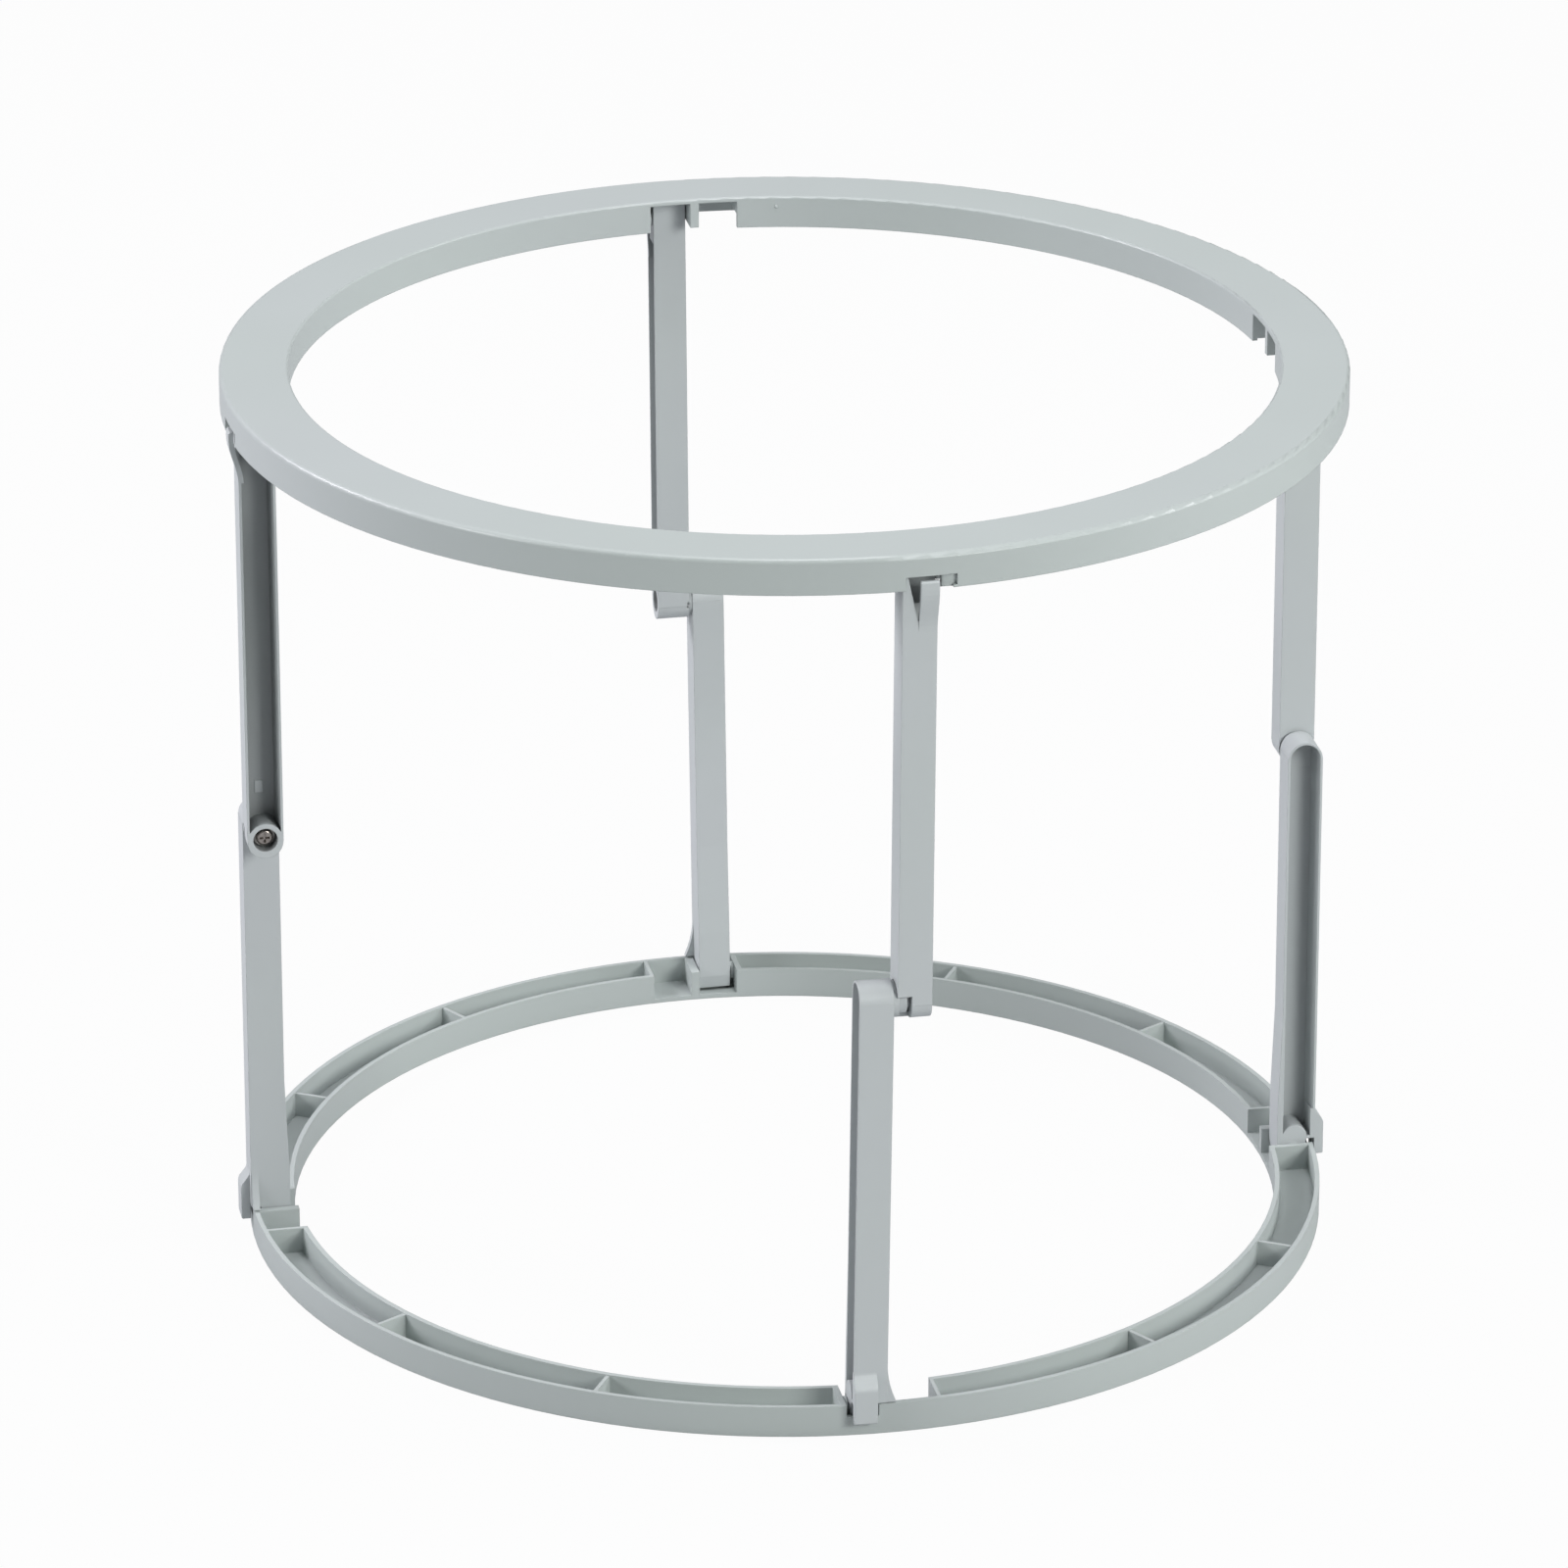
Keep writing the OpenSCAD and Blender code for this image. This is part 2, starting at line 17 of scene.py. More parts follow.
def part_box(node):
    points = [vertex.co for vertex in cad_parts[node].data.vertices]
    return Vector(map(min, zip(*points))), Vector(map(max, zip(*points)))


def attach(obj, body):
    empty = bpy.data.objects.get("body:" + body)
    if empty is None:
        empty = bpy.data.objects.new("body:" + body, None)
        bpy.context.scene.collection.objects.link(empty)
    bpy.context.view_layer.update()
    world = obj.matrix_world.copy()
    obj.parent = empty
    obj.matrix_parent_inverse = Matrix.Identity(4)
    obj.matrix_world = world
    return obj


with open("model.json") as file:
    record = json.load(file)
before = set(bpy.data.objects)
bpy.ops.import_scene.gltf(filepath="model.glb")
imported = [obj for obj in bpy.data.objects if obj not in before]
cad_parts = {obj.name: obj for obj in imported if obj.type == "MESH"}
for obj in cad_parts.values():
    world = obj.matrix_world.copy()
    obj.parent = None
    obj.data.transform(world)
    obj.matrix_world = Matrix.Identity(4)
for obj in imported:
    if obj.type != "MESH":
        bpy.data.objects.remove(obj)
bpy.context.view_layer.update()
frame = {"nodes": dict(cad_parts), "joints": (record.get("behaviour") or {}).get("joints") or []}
LEG_ANGLES = {"front": 270, "right": 0, "back": 90, "left": 180}

# %% [markdown]
# ## Reading sizes from the model
#
# Later steps place small details on the mouldings. Sizes typed twice drift apart, so the
# top ring's radius and height are read from the box of its loaded node, and the hinge
# places from the joints in the record.

# %% Ring size and hinge places from the loaded model
MM = 0.001


def node_box(node):
    low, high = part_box(node)
    return Vector(low), Vector(high)


def joint_place(joint_name):
    joint = next(j for j in frame["joints"] if j["name"] == joint_name)
    return Vector(joint["pos_m"])


top_high = node_box("top_ring")[1]
TOP_RADIUS = top_high.x
TOP_Z = top_high.z
KNUCKLE = joint_place("right_knuckle")
print("top ring radius", round(TOP_RADIUS / MM, 1), "mm, height", round(TOP_Z / MM, 1), "mm")
print("knuckle radius", round(KNUCKLE.x / MM, 1), "mm, height", round(KNUCKLE.z / MM, 1), "mm")

# %% [markdown]
# ## Camera
#
# The portrait is taken from a little above, from far away with a long lens, so that the two
# ellipses of the rings look almost alike. The camera is placed by its distance, its turn
# round the stand and its pitch, which keeps the numbers meaningful.

# %% Camera placed by distance, turn and pitch
CAMERA_DISTANCE = 3.1525
CAMERA_PITCH = math.radians(22.62)
CAMERA_TURN = math.radians(-11.12)
FOCAL_PIXELS = 8905
FRAME_PIXELS = 1600
SENSOR_WIDTH = 36
SHIFT_PIXELS = -0.5

aim = Vector((0, 0, TOP_Z / 2))
flat = CAMERA_DISTANCE * math.cos(CAMERA_PITCH)
camera_place = aim + Vector((math.sin(CAMERA_TURN) * flat, -math.cos(CAMERA_TURN) * flat,
                             CAMERA_DISTANCE * math.sin(CAMERA_PITCH)))
camera_data = bpy.data.cameras.new("portrait_camera")
camera_data.sensor_width = SENSOR_WIDTH
camera_data.lens = FOCAL_PIXELS / FRAME_PIXELS * SENSOR_WIDTH
camera_data.shift_x = SHIFT_PIXELS / FRAME_PIXELS
camera = bpy.data.objects.new("portrait_camera", camera_data)
camera.location = camera_place
camera.rotation_euler = (aim - camera_place).to_track_quat("-Z", "Y").to_euler()
bpy.context.scene.collection.objects.link(camera)
bpy.context.scene.camera = camera
print("lens", round(camera_data.lens, 1), "mm")

# %% [markdown]
# ## Studio floor and light
#
# A pale product is shown on a white table in wide, soft light. Large area lamps do this
# better than one bright point, because their shadows fade gently. One hangs overhead, the
# others stand round the table, and the strongest is behind on the left, where it draws a
# bright line along the top ring's far edge. The floor is a real surface that receives the
# stand's shadow. For the camera alone it is lifted
# towards white with the Light Path node, so the table looks clean without adding any light
# to the stand.

# %% White world and table
scene = bpy.context.scene
scene.view_settings.view_transform = "Standard"

SKY_LIGHT = 0.18
world = bpy.data.worlds.new("white_studio")
scene.world = world
world.use_nodes = True
tree = world.node_tree
tree.nodes.clear()
soft_sky = tree.nodes.new("ShaderNodeBackground")
soft_sky.inputs["Color"].default_value = (0.94, 0.97, 1.0, 1)
soft_sky.inputs["Strength"].default_value = SKY_LIGHT
white_sky = tree.nodes.new("ShaderNodeBackground")
white_sky.inputs["Color"].default_value = (1, 1, 1, 1)
white_sky.inputs["Strength"].default_value = 1
pick_sky = tree.nodes.new("ShaderNodeMixShader")
world_out = tree.nodes.new("ShaderNodeOutputWorld")
path = tree.nodes.new("ShaderNodeLightPath")
tree.links.new(path.outputs["Is Camera Ray"], pick_sky.inputs["Fac"])
tree.links.new(soft_sky.outputs[0], pick_sky.inputs[1])
tree.links.new(white_sky.outputs[0], pick_sky.inputs[2])
tree.links.new(pick_sky.outputs[0], world_out.inputs["Surface"])

FLOOR_HALF = 6.0
FLOOR_LIFT = 0.96
floor_bm = bmesh.new()
bmesh.ops.create_grid(floor_bm, x_segments=1, y_segments=1, size=FLOOR_HALF)
floor_mesh = bpy.data.meshes.new("studio_table")
floor_bm.to_mesh(floor_mesh)
floor_bm.free()
floor = bpy.data.objects.new("studio_table", floor_mesh)
scene.collection.objects.link(floor)
floor_paint = bpy.data.materials.new("white_table")
floor_paint.use_nodes = True
tree = floor_paint.node_tree
table_shader = tree.nodes["Principled BSDF"]
table_shader.inputs["Base Color"].default_value = (0.38, 0.39, 0.40, 1)
table_shader.inputs["Roughness"].default_value = 0.9
glow = tree.nodes.new("ShaderNodeEmission")
glow.inputs["Color"].default_value = (1, 1, 1, 1)
glow.inputs["Strength"].default_value = 1
lift = tree.nodes.new("ShaderNodeMath")
lift.operation = "MULTIPLY"
lift.inputs[1].default_value = FLOOR_LIFT
path = tree.nodes.new("ShaderNodeLightPath")
tree.links.new(path.outputs["Is Camera Ray"], lift.inputs[0])
pick_floor = tree.nodes.new("ShaderNodeMixShader")
tree.links.new(lift.outputs[0], pick_floor.inputs["Fac"])
tree.links.new(table_shader.outputs[0], pick_floor.inputs[1])
tree.links.new(glow.outputs[0], pick_floor.inputs[2])
tree.links.new(pick_floor.outputs[0], tree.nodes["Material Output"].inputs["Surface"])
floor_mesh.materials.append(floor_paint)
print("table half size", FLOOR_HALF, "m")

# %% Soft lamps all round the stand
def soft_lamp(name, place, size, power, colour):
    lamp = bpy.data.lights.new(name, "AREA")
    lamp.shape = "DISK"
    lamp.size = size
    lamp.energy = power
    lamp.color = colour
    holder = bpy.data.objects.new(name, lamp)
    holder.location = place
    holder.rotation_euler = (aim - Vector(place)).to_track_quat("-Z", "Y").to_euler()
    scene.collection.objects.link(holder)


soft_lamp("ceiling_lamp", (0.3, -0.1, 3.0), 1.2, 36, (0.98, 0.97, 1.0))
soft_lamp("front_right_lamp", (1.6, -2.6, 1.5), 1.3, 63, (0.99, 1.0, 0.98))
soft_lamp("right_lamp", (2.9, -0.5, 1.5), 1.0, 36, (0.99, 0.99, 1.0))
soft_lamp("back_left_lamp", (-2.4, 1.3, 1.9), 1.5, 74, (0.98, 0.94, 1.0))
soft_lamp("left_lamp", (-2.8, -0.8, 1.1), 1.0, 27, (0.98, 0.99, 1.0))

# %% [markdown]
# ## Shared surface effects
#
# Every moulding here is the same satin plastic, and shows the same effects: a fine grain
# that the mould's spark-eroded steel leaves, faint clouds where the melt flowed, slightly
# glossier edges with a painted highlight along them, and shade deep inside the channels.
# Each effect is built once, as a node group with named inputs, and placed in each material
# with its own values. A group only puts out masks and values; the shader itself stays in the
# material.

# %% A helper for node groups with named sockets
def new_group(name, inputs, outputs):
    group = bpy.data.node_groups.new(name, "ShaderNodeTree")
    for label, kind, value in inputs:
        socket = group.interface.new_socket(name=label, in_out="INPUT", socket_type=kind)
        if value is not None:
            socket.default_value = value
    for label, kind in outputs:
        group.interface.new_socket(name=label, in_out="OUTPUT", socket_type=kind)
    entry = group.nodes.new("NodeGroupInput")
    leave = group.nodes.new("NodeGroupOutput")
    return group, entry, leave


def add_math(tree, operation, first, second):
    node = tree.nodes.new("ShaderNodeMath")
    node.operation = operation
    for socket, value in zip(node.inputs, (first, second)):
        if isinstance(value, (int, float)):
            socket.default_value = value
        elif value is not None:
            tree.links.new(value, socket)
    return node.outputs[0]


def add_range(tree, value, from_low, from_high, to_low, to_high):
    node = tree.nodes.new("ShaderNodeMapRange")
    tree.links.new(value, node.inputs["Value"])
    for label, number in (("From Min", from_low), ("From Max", from_high),
                          ("To Min", to_low), ("To Max", to_high)):
        if isinstance(number, (int, float)):
            node.inputs[label].default_value = number
        else:
            tree.links.new(number, node.inputs[label])
    return node.outputs["Result"]


# %% Mould grain: a fine even pebble, as a height and a roughness
def build_mould_grain():
    group, entry, leave = new_group(
        "mould_grain",
        [("Grains per metre", "NodeSocketFloat", 1600.0), ("Roughness", "NodeSocketFloat", 0.42),
         ("Roughness change", "NodeSocketFloat", 0.06)],
        [("Height", "NodeSocketFloat"), ("Roughness", "NodeSocketFloat")])
    place = group.nodes.new("ShaderNodeTexCoord")
    grain = group.nodes.new("ShaderNodeTexNoise")
    grain.inputs["Detail"].default_value = 2
    group.links.new(place.outputs["Object"], grain.inputs["Vector"])
    group.links.new(entry.outputs["Grains per metre"], grain.inputs["Scale"])
    group.links.new(grain.outputs["Fac"], leave.inputs["Height"])
    smear = group.nodes.new("ShaderNodeTexNoise")
    smear.inputs["Scale"].default_value = 30
    smear.inputs["Detail"].default_value = 0
    group.links.new(place.outputs["Object"], smear.inputs["Vector"])
    swing = add_range(group, smear.outputs["Fac"], 0, 1, -1, 1)
    swing = add_math(group, "MULTIPLY", swing, entry.outputs["Roughness change"])
    group.links.new(add_math(group, "ADD", swing, entry.outputs["Roughness"]),
                    leave.inputs["Roughness"])
    return group


MOULD_GRAIN = build_mould_grain()
print("group:", MOULD_GRAIN.name)


# %% Melt clouds: slow change of shade where the plastic flowed
def build_melt_clouds():
    group, entry, leave = new_group(
        "melt_clouds",
        [("Clouds per metre", "NodeSocketFloat", 14.0), ("Amount", "NodeSocketFloat", 0.5)],
        [("Shade", "NodeSocketFloat")])
    place = group.nodes.new("ShaderNodeTexCoord")
    cloud = group.nodes.new("ShaderNodeTexNoise")
    cloud.inputs["Detail"].default_value = 0
    group.links.new(place.outputs["Object"], cloud.inputs["Vector"])
    group.links.new(entry.outputs["Clouds per metre"], cloud.inputs["Scale"])
    group.links.new(add_math(group, "MULTIPLY", cloud.outputs["Fac"], entry.outputs["Amount"]),
                    leave.inputs["Shade"])
    return group


MELT_CLOUDS = build_melt_clouds()
print("group:", MELT_CLOUDS.name)


# %% Edge rounding and painted highlight: a mask where the surface turns sharply
def build_edge_rounding_and_highlight():
    group, entry, leave = new_group(
        "edge_rounding_and_highlight",
        [("Edge radius", "NodeSocketFloat", 0.6 * MM), ("Gain", "NodeSocketFloat", 3.0)],
        [("Edge", "NodeSocketFloat"), ("Normal", "NodeSocketVector")])
    soft = group.nodes.new("ShaderNodeBevel")
    soft.samples = 4
    group.links.new(entry.outputs["Edge radius"], soft.inputs["Radius"])
    true_normal = group.nodes.new("ShaderNodeNewGeometry")
    compare = group.nodes.new("ShaderNodeVectorMath")
    compare.operation = "DOT_PRODUCT"
    group.links.new(soft.outputs["Normal"], compare.inputs[0])
    group.links.new(true_normal.outputs["Normal"], compare.inputs[1])
    turned = add_math(group, "SUBTRACT", 1.0, compare.outputs["Value"])
    turned = add_math(group, "MULTIPLY", turned, entry.outputs["Gain"])
    group.links.new(add_math(group, "MINIMUM", turned, 1.0), leave.inputs["Edge"])
    group.links.new(soft.outputs["Normal"], leave.inputs["Normal"])
    return group


EDGE_ROUNDING_AND_HIGHLIGHT = build_edge_rounding_and_highlight()
print("group:", EDGE_ROUNDING_AND_HIGHLIGHT.name)


# %% Crevice shade: a mask that is dark deep inside a channel
def build_crevice_shade():
    group, entry, leave = new_group(
        "crevice_shade",
        [("Reach", "NodeSocketFloat", 12 * MM), ("Depth", "NodeSocketFloat", 0.6)],
        [("Shade", "NodeSocketFloat")])
    hidden = group.nodes.new("ShaderNodeAmbientOcclusion")
    hidden.samples = 6
    hidden.only_local = True
    group.links.new(entry.outputs["Reach"], hidden.inputs["Distance"])
    closed = add_range(group, hidden.outputs["AO"], 0.25, 0.8, entry.outputs["Depth"], 0.0)
    group.links.new(closed, leave.inputs["Shade"])
    return group


CREVICE_SHADE = build_crevice_shade()
print("group:", CREVICE_SHADE.name)

# %% [markdown]
# ## Sage plastic
#
# The plastic is a greyed sage, dyed in the mass, with a satin skin. Paint-like flat colour
# would look like a toy, so the colour moves slightly between two close shades through the
# clouds mask. Along the edges a painted highlight makes it lighter, and the edges are a
# little glossier. The upper links' channels are deep and narrow, so they get the strongest
# crevice shade, the lower links get a little, and the open rings need none.

# %% The satin plastic, with its own values for each moulding
def shade_of(colour, factor):
    return tuple(channel * factor for channel in colour) + (1,)


def place_group(tree, group, values):
    node = tree.nodes.new("ShaderNodeGroup")
    node.node_tree = group
    for label, value in values.items():
        node.inputs[label].default_value = value
    return node


def mix_colours(tree, factor, first, second):
    node = tree.nodes.new("ShaderNodeMix")
    node.data_type = "RGBA"
    tree.links.new(factor, node.inputs["Factor"])
    for socket, value in ((node.inputs[6], first), (node.inputs[7], second)):
        if isinstance(value, tuple):
            socket.default_value = value
        else:
            tree.links.new(value, socket)
    return node.outputs[2]


SAGE = (0.492, 0.532, 0.526)
# The rings' sage is the links' sage made darker: painted shade over the whole of both rings.
DARKENED_RING_SAGE = (0.441, 0.488, 0.470)
COOL_TINT = (1.025, 0.995, 1.035)
# Painted highlight: how much lighter the edges are painted.
PAINTED_EDGE_HIGHLIGHT = 1.22
CREVICE_DARK = 0.12
PLASTIC_IOR = 1.49
EDGE_RADIUS = 0.45 * MM
EDGE_GAIN = 2.2
# Painted highlight: how strongly the edge mask lightens the colour.
EDGE_HIGHLIGHT_AMOUNT = 0.25
EDGE_GLOSS = -0.12
GRAIN_STRENGTH = 0.03
GRAIN_HEIGHT = 0.03 * MM
CREVICE_REACH = 14 * MM


def satin_plastic(name, colour, roughness, clouds, grains, crevice=0.0):
    cool = tuple(channel * tint for channel, tint in zip(colour, COOL_TINT))
    paint = bpy.data.materials.new(name)
    paint.use_nodes = True
    tree = paint.node_tree
    shader = tree.nodes["Principled BSDF"]
    shader.inputs["IOR"].default_value = PLASTIC_IOR
    shader.inputs["Specular IOR Level"].default_value = 0.45
    grain = place_group(tree, MOULD_GRAIN, {"Grains per metre": grains, "Roughness": roughness})
    cloud = place_group(tree, MELT_CLOUDS, {"Clouds per metre": clouds, "Amount": 1.0})
    edge = place_group(tree, EDGE_ROUNDING_AND_HIGHLIGHT, {"Edge radius": EDGE_RADIUS, "Gain": EDGE_GAIN})
    body = mix_colours(tree, cloud.outputs["Shade"], shade_of(colour, 1), shade_of(cool, 1))
    # Painted highlight: the edge mask lightens the colour along every edge.
    painted_edge_highlight = add_math(tree, "MULTIPLY", edge.outputs["Edge"], EDGE_HIGHLIGHT_AMOUNT)
    skin = mix_colours(tree, painted_edge_highlight, body, shade_of(colour, PAINTED_EDGE_HIGHLIGHT))
    if crevice:
        deep = place_group(tree, CREVICE_SHADE, {"Reach": CREVICE_REACH, "Depth": crevice})
        skin = mix_colours(tree, deep.outputs["Shade"], skin, shade_of(colour, CREVICE_DARK))
    tree.links.new(skin, shader.inputs["Base Color"])
    worn = add_math(tree, "MULTIPLY", edge.outputs["Edge"], EDGE_GLOSS)
    tree.links.new(add_math(tree, "ADD", grain.outputs["Roughness"], worn),
                   shader.inputs["Roughness"])
    bump = tree.nodes.new("ShaderNodeBump")
    bump.inputs["Strength"].default_value = GRAIN_STRENGTH
    bump.inputs["Distance"].default_value = GRAIN_HEIGHT
    tree.links.new(grain.outputs["Height"], bump.inputs["Height"])
    tree.links.new(edge.outputs["Normal"], bump.inputs["Normal"])
    tree.links.new(bump.outputs["Normal"], shader.inputs["Normal"])
    return paint


RING_TOP_PLASTIC = satin_plastic("satin_sage_top_ring", DARKENED_RING_SAGE, 0.32, 9, 1500)
RING_BASE_PLASTIC = satin_plastic("satin_sage_base_ring", DARKENED_RING_SAGE, 0.42, 11, 1500)
UPPER_LINK_PLASTIC = satin_plastic("satin_sage_upper_link", SAGE, 0.43, 17, 1700, 0.6)
LOWER_LINK_PLASTIC = satin_plastic("satin_sage_lower_link", SAGE, 0.43, 19, 1700, 0.2)
print("plastics:", sum(m.name.startswith("satin_sage") for m in bpy.data.materials))

# %% [markdown]
# ## Turned steel
#
# Screws, washers and pins come off a lathe, which leaves fine rings round their axis. The
# rings are made from the distance to the axis, so they stay round on the screw's head. The
# axis differs on each leg, so each leg's steel carries its own centre and direction.

# %% Lathe rings as a node group
def build_lathe_rings():
    group, entry, leave = new_group(
        "lathe_rings",
        [("Centre", "NodeSocketVector", None), ("Across", "NodeSocketVector", None),
         ("Rings per metre", "NodeSocketFloat", 4200.0)],
        [("Height", "NodeSocketFloat"), ("Stain", "NodeSocketFloat")])
    place = group.nodes.new("ShaderNodeTexCoord")
    offset = group.nodes.new("ShaderNodeVectorMath")
    offset.operation = "SUBTRACT"
    group.links.new(place.outputs["Object"], offset.inputs[0])
    group.links.new(entry.outputs["Centre"], offset.inputs[1])
    flattened = group.nodes.new("ShaderNodeVectorMath")
    flattened.operation = "MULTIPLY"
    group.links.new(offset.outputs[0], flattened.inputs[0])
    group.links.new(entry.outputs["Across"], flattened.inputs[1])
    radius = group.nodes.new("ShaderNodeVectorMath")
    radius.operation = "LENGTH"
    group.links.new(flattened.outputs[0], radius.inputs[0])
    turns = add_math(group, "MULTIPLY", radius.outputs["Value"], entry.outputs["Rings per metre"])
    wave = add_math(group, "SINE", add_math(group, "MULTIPLY", turns, 2 * math.pi), None)
    group.links.new(add_range(group, wave, -1, 1, 0, 1), leave.inputs["Height"])
    stain = group.nodes.new("ShaderNodeTexNoise")
    stain.inputs["Scale"].default_value = 700
    stain.inputs["Detail"].default_value = 5
    group.links.new(place.outputs["Object"], stain.inputs["Vector"])
    group.links.new(add_range(group, stain.outputs["Fac"], 0.4, 0.7, 0, 1), leave.inputs["Stain"])
    return group


LATHE_RINGS = build_lathe_rings()
print("group:", LATHE_RINGS.name)


# %% Zinc-plated steel for one leg's fasteners
STEEL_EDGE_RADIUS = 0.2 * MM
STEEL_EDGE_GAIN = 3
STAINED_ROUGHER = 0.12
STAINED_SHADE = 0.8
CLEAN_SHADE = 1.05
# Painted highlight: how much lighter the steel's edges are painted.
STEEL_EDGE_HIGHLIGHT = 1.3
LATHE_STRENGTH = 0.15
LATHE_HEIGHT = 0.02 * MM


def turned_steel(name, colour, roughness, centre, angle, rings):
    paint = bpy.data.materials.new(name)
    paint.use_nodes = True
    tree = paint.node_tree
    shader = tree.nodes["Principled BSDF"]
    shader.inputs["Metallic"].default_value = 1.0
    across = (abs(math.cos(math.radians(angle))), abs(math.sin(math.radians(angle))), 1)
    lathe = place_group(tree, LATHE_RINGS, {"Centre": centre, "Across": across,
                                            "Rings per metre": rings})
    edge = place_group(tree, EDGE_ROUNDING_AND_HIGHLIGHT, {"Edge radius": STEEL_EDGE_RADIUS,
                                              "Gain": STEEL_EDGE_GAIN})
    dull = mix_colours(tree, lathe.outputs["Stain"], shade_of(colour, STAINED_SHADE),
                       shade_of(colour, CLEAN_SHADE))
    # Painted highlight: the steel's colour is made lighter along its edges.
    bright = mix_colours(tree, edge.outputs["Edge"], dull, shade_of(colour, STEEL_EDGE_HIGHLIGHT))
    tree.links.new(bright, shader.inputs["Base Color"])
    tree.links.new(add_range(tree, lathe.outputs["Stain"], 0, 1, roughness + STAINED_ROUGHER,
                             roughness), shader.inputs["Roughness"])
    bump = tree.nodes.new("ShaderNodeBump")
    bump.inputs["Strength"].default_value = LATHE_STRENGTH
    bump.inputs["Distance"].default_value = LATHE_HEIGHT
    tree.links.new(lathe.outputs["Height"], bump.inputs["Height"])
    tree.links.new(edge.outputs["Normal"], bump.inputs["Normal"])
    tree.links.new(bump.outputs["Normal"], shader.inputs["Normal"])
    return paint


# %% [markdown]
# ## Putting the finishes on the pieces
#
# The engineering model's meshes are left alone. Each piece only gets its finish in the slots
# that it already has, and the small rounding that a mould gives to every corner comes from
# the edge effect inside the finish. The fasteners of one leg share that leg's axis, so their
# steel is made leg by leg.

# %% Fill the material slots of every node
def finish_node(node, paint):
    for material_slot in frame["nodes"][node].material_slots:
        material_slot.material = paint


SCREW_STEEL = (0.42, 0.38, 0.35)
WASHER_STEEL = (0.40, 0.38, 0.36)
PIN_STEEL = (0.5, 0.5, 0.5)

finish_node("top_ring", RING_TOP_PLASTIC)
finish_node("base_ring", RING_BASE_PLASTIC)
for leg, angle in LEG_ANGLES.items():
    knuckle = joint_place(f"{leg}_knuckle")
    finish_node(f"{leg}_upper_link", UPPER_LINK_PLASTIC)
    finish_node(f"{leg}_lower_link", LOWER_LINK_PLASTIC)
    finish_node(f"{leg}_knuckle_screw",
                turned_steel(f"{leg}_screw_steel", SCREW_STEEL, 0.17, knuckle, angle, 3600))
    finish_node(f"{leg}_knuckle_washer",
                turned_steel(f"{leg}_washer_steel", WASHER_STEEL, 0.24, knuckle, angle, 2600))
    pin_steel = turned_steel(f"{leg}_pin_steel", PIN_STEEL, 0.32,
                             joint_place(f"{leg}_fold"), angle, 3000)
    finish_node(f"{leg}_base_pin", pin_steel)
    finish_node(f"{leg}_top_pin", pin_steel)
print("nodes finished:", len(frame["nodes"]))

# %% [markdown]
# ## Marks that the mould leaves
#
# A moulding carries small signs of how it was made: round witness marks where the ejector
# pins pushed it out, a tiny stub where the plastic came in, and a raised pad for the cavity
# number in each upper link's channel. Their places are found by casting a ray at the loaded
# mesh, so every mark sits on the real surface whatever its size is.

# %% Find a point on a node's surface
def surface_point(node, start, direction):
    piece = frame["nodes"][node]
    inward = piece.matrix_world.inverted()
    found, place, _, _ = piece.ray_cast(inward @ start, inward.to_3x3() @ direction)
    if not found:
        raise ValueError(f"no surface of {node} on this ray")
    return piece.matrix_world @ place


def ring_direction(angle):
    turn = math.radians(angle)
    return Vector((math.cos(turn), math.sin(turn), 0))


# %% Turn a finished bmesh into a piece that rides a body
def add_mark(name, bm, body, paint):
    bmesh.ops.recalc_face_normals(bm, faces=bm.faces)
    mesh = bpy.data.meshes.new(name)
    bm.to_mesh(mesh)
    bm.free()
    for face in mesh.polygons:
        face.use_smooth = True
    mesh.materials.append(paint)
    mark = bpy.data.objects.new(name, mesh)
    scene.collection.objects.link(mark)
    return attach(mark, body)


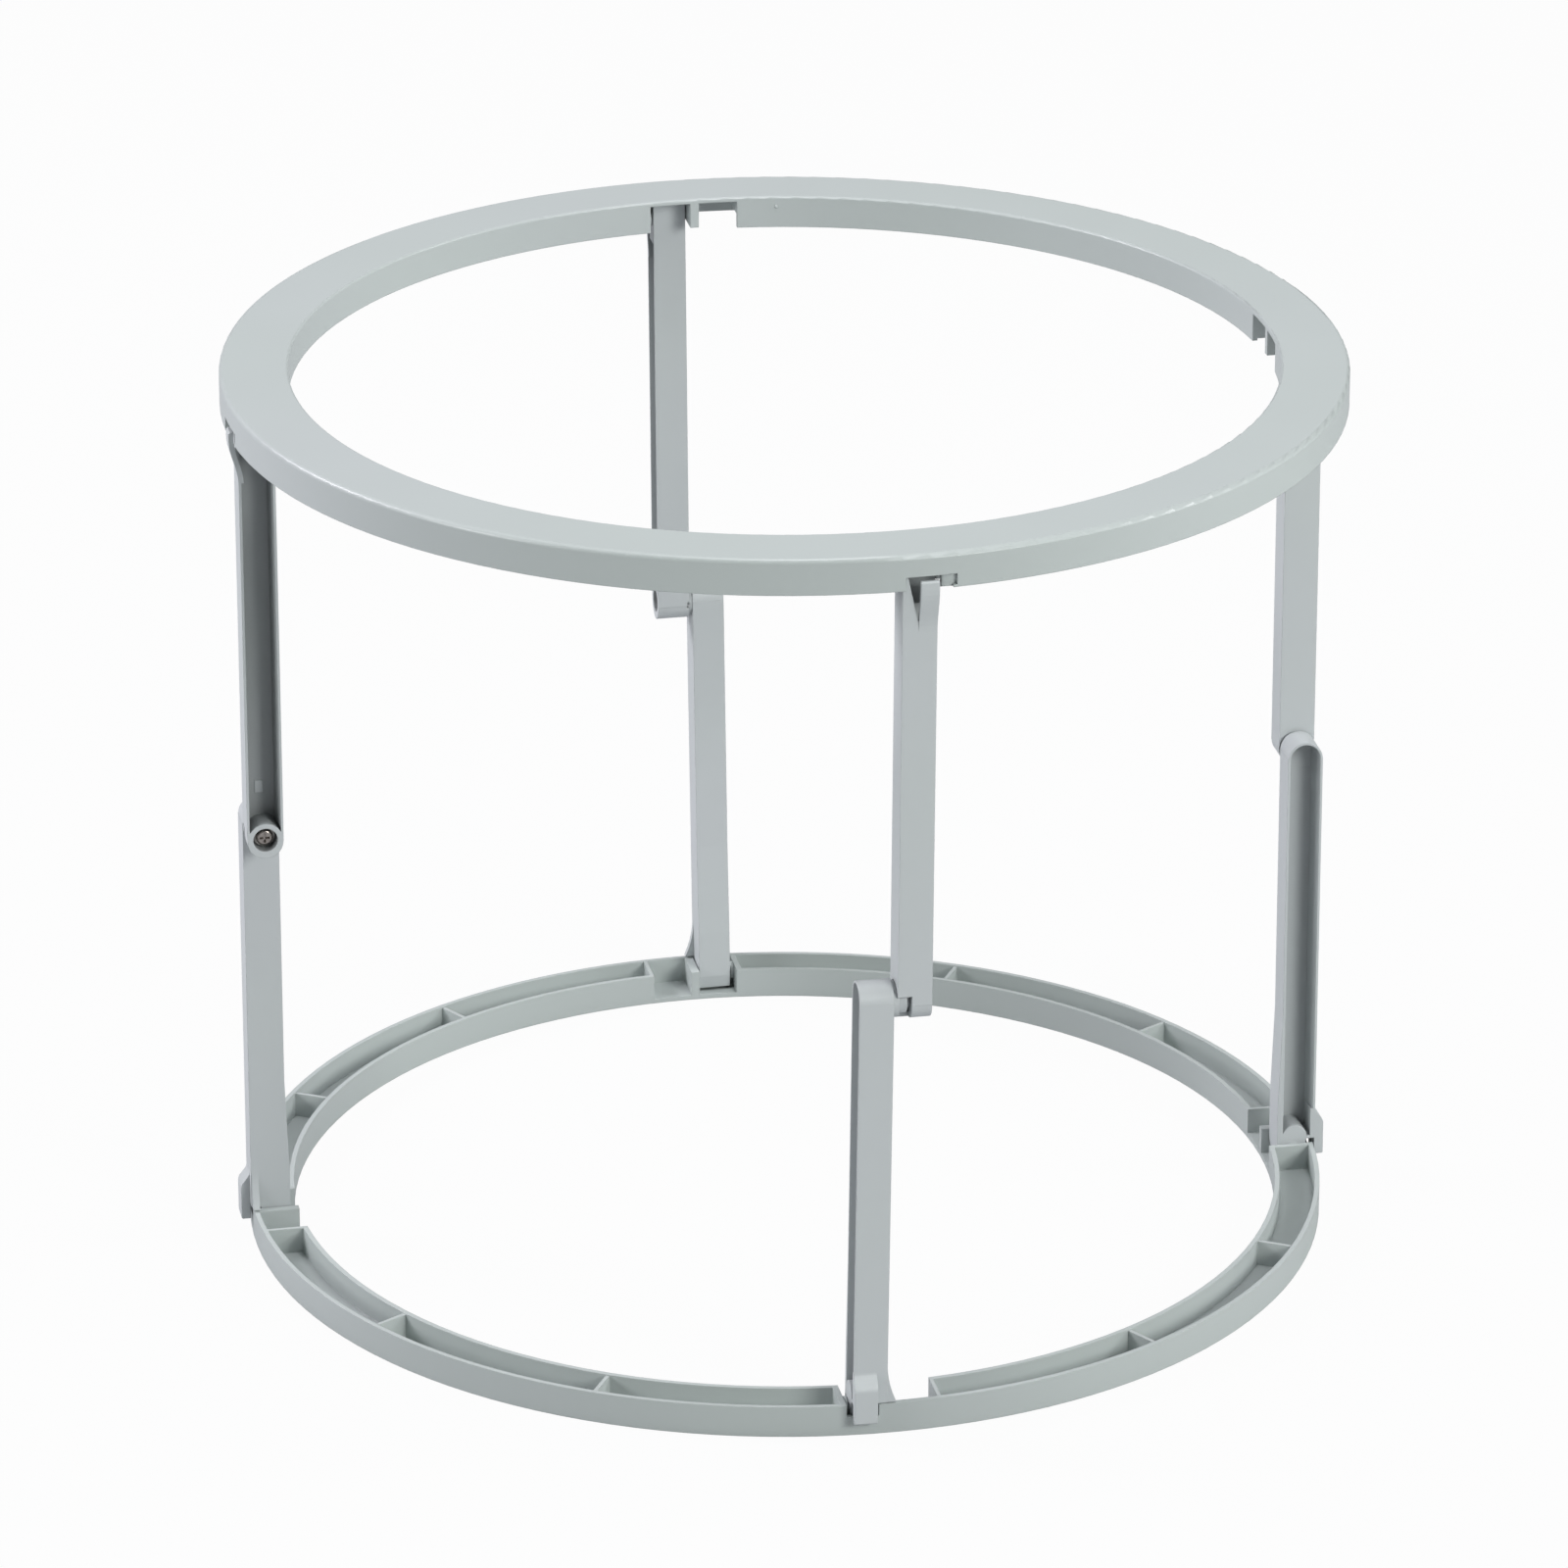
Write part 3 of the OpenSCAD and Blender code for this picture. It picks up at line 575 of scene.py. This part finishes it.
# %% Ejector marks under the top plate
EJECTOR_RADIUS = 2.2 * MM
EJECTOR_PROUD = 0.12 * MM
EJECTOR_COUNT = 12
EJECTOR_STEP = 360 / EJECTOR_COUNT
inner_wall = surface_point("top_ring", Vector((0, 0, TOP_Z - 5 * MM)), ring_direction(45))
ring_middle = (TOP_RADIUS + inner_wall.xy.length) / 2
ejectors = bmesh.new()
for step in range(EJECTOR_COUNT):
    spot = ring_direction(EJECTOR_STEP * (step + 0.5)) * ring_middle
    face = surface_point("top_ring", spot, Vector((0, 0, 1)))
    bmesh.ops.create_cone(ejectors, cap_ends=True, segments=32, radius1=EJECTOR_RADIUS,
                          radius2=EJECTOR_RADIUS, depth=2 * EJECTOR_PROUD,
                          matrix=Matrix.Translation(face))
add_mark("top_ejector_marks", ejectors, "top", RING_TOP_PLASTIC)
print("ejector marks at radius", round(ring_middle / MM, 1), "mm")

# %% The gate stub on the top ring's inner wall
GATE_RADIUS = 0.75 * MM
GATE_SUNK = 0.3 * GATE_RADIUS
GATE_ANGLE = 79.9
gate_way = ring_direction(GATE_ANGLE)
gate_place = surface_point("top_ring", Vector((0, 0, TOP_Z - 4 * MM)), gate_way)
gate = bmesh.new()
bmesh.ops.create_uvsphere(gate, u_segments=24, v_segments=16, radius=GATE_RADIUS,
                          matrix=Matrix.Translation(gate_place + gate_way * GATE_SUNK))
add_mark("top_gate_stub", gate, "top", RING_TOP_PLASTIC)
print("gate stub at", GATE_ANGLE, "degrees round the ring")

# %% A pad in each upper link's channel
PAD_SIZE = (3.0 * MM, 1.0 * MM, 4.6 * MM)
PAD_PROUD = 0.4 * MM
PAD_ABOVE_KNUCKLE = 17 * MM
PAD_OUTSIDE_KNUCKLE = 0.8 * MM
PAD_EDGE = 0.15 * MM
RAY_START = 40 * MM
level = Vector((0, 0, KNUCKLE.z + PAD_ABOVE_KNUCKLE))
for leg, angle in LEG_ANGLES.items():
    outward = ring_direction(angle)
    sideways = ring_direction(angle + 90)
    start = outward * (KNUCKLE.x + PAD_OUTSIDE_KNUCKLE) + sideways * RAY_START + level
    web = surface_point(f"{leg}_upper_link", start, -sideways)
    pad = bmesh.new()
    place = Matrix.Translation(web - sideways * (PAD_SIZE[1] / 2 - PAD_PROUD))
    turn = Matrix.Rotation(math.radians(angle), 4, "Z")
    bmesh.ops.create_cube(pad, size=1, matrix=place @ turn @ Matrix.Diagonal((*PAD_SIZE, 1)))
    bmesh.ops.bevel(pad, geom=pad.edges[:], offset=PAD_EDGE, segments=2, affect="EDGES",
                    profile=0.5, material=-1)
    add_mark(f"{leg}_cavity_pad", pad, f"{leg}_upper", UPPER_LINK_PLASTIC)
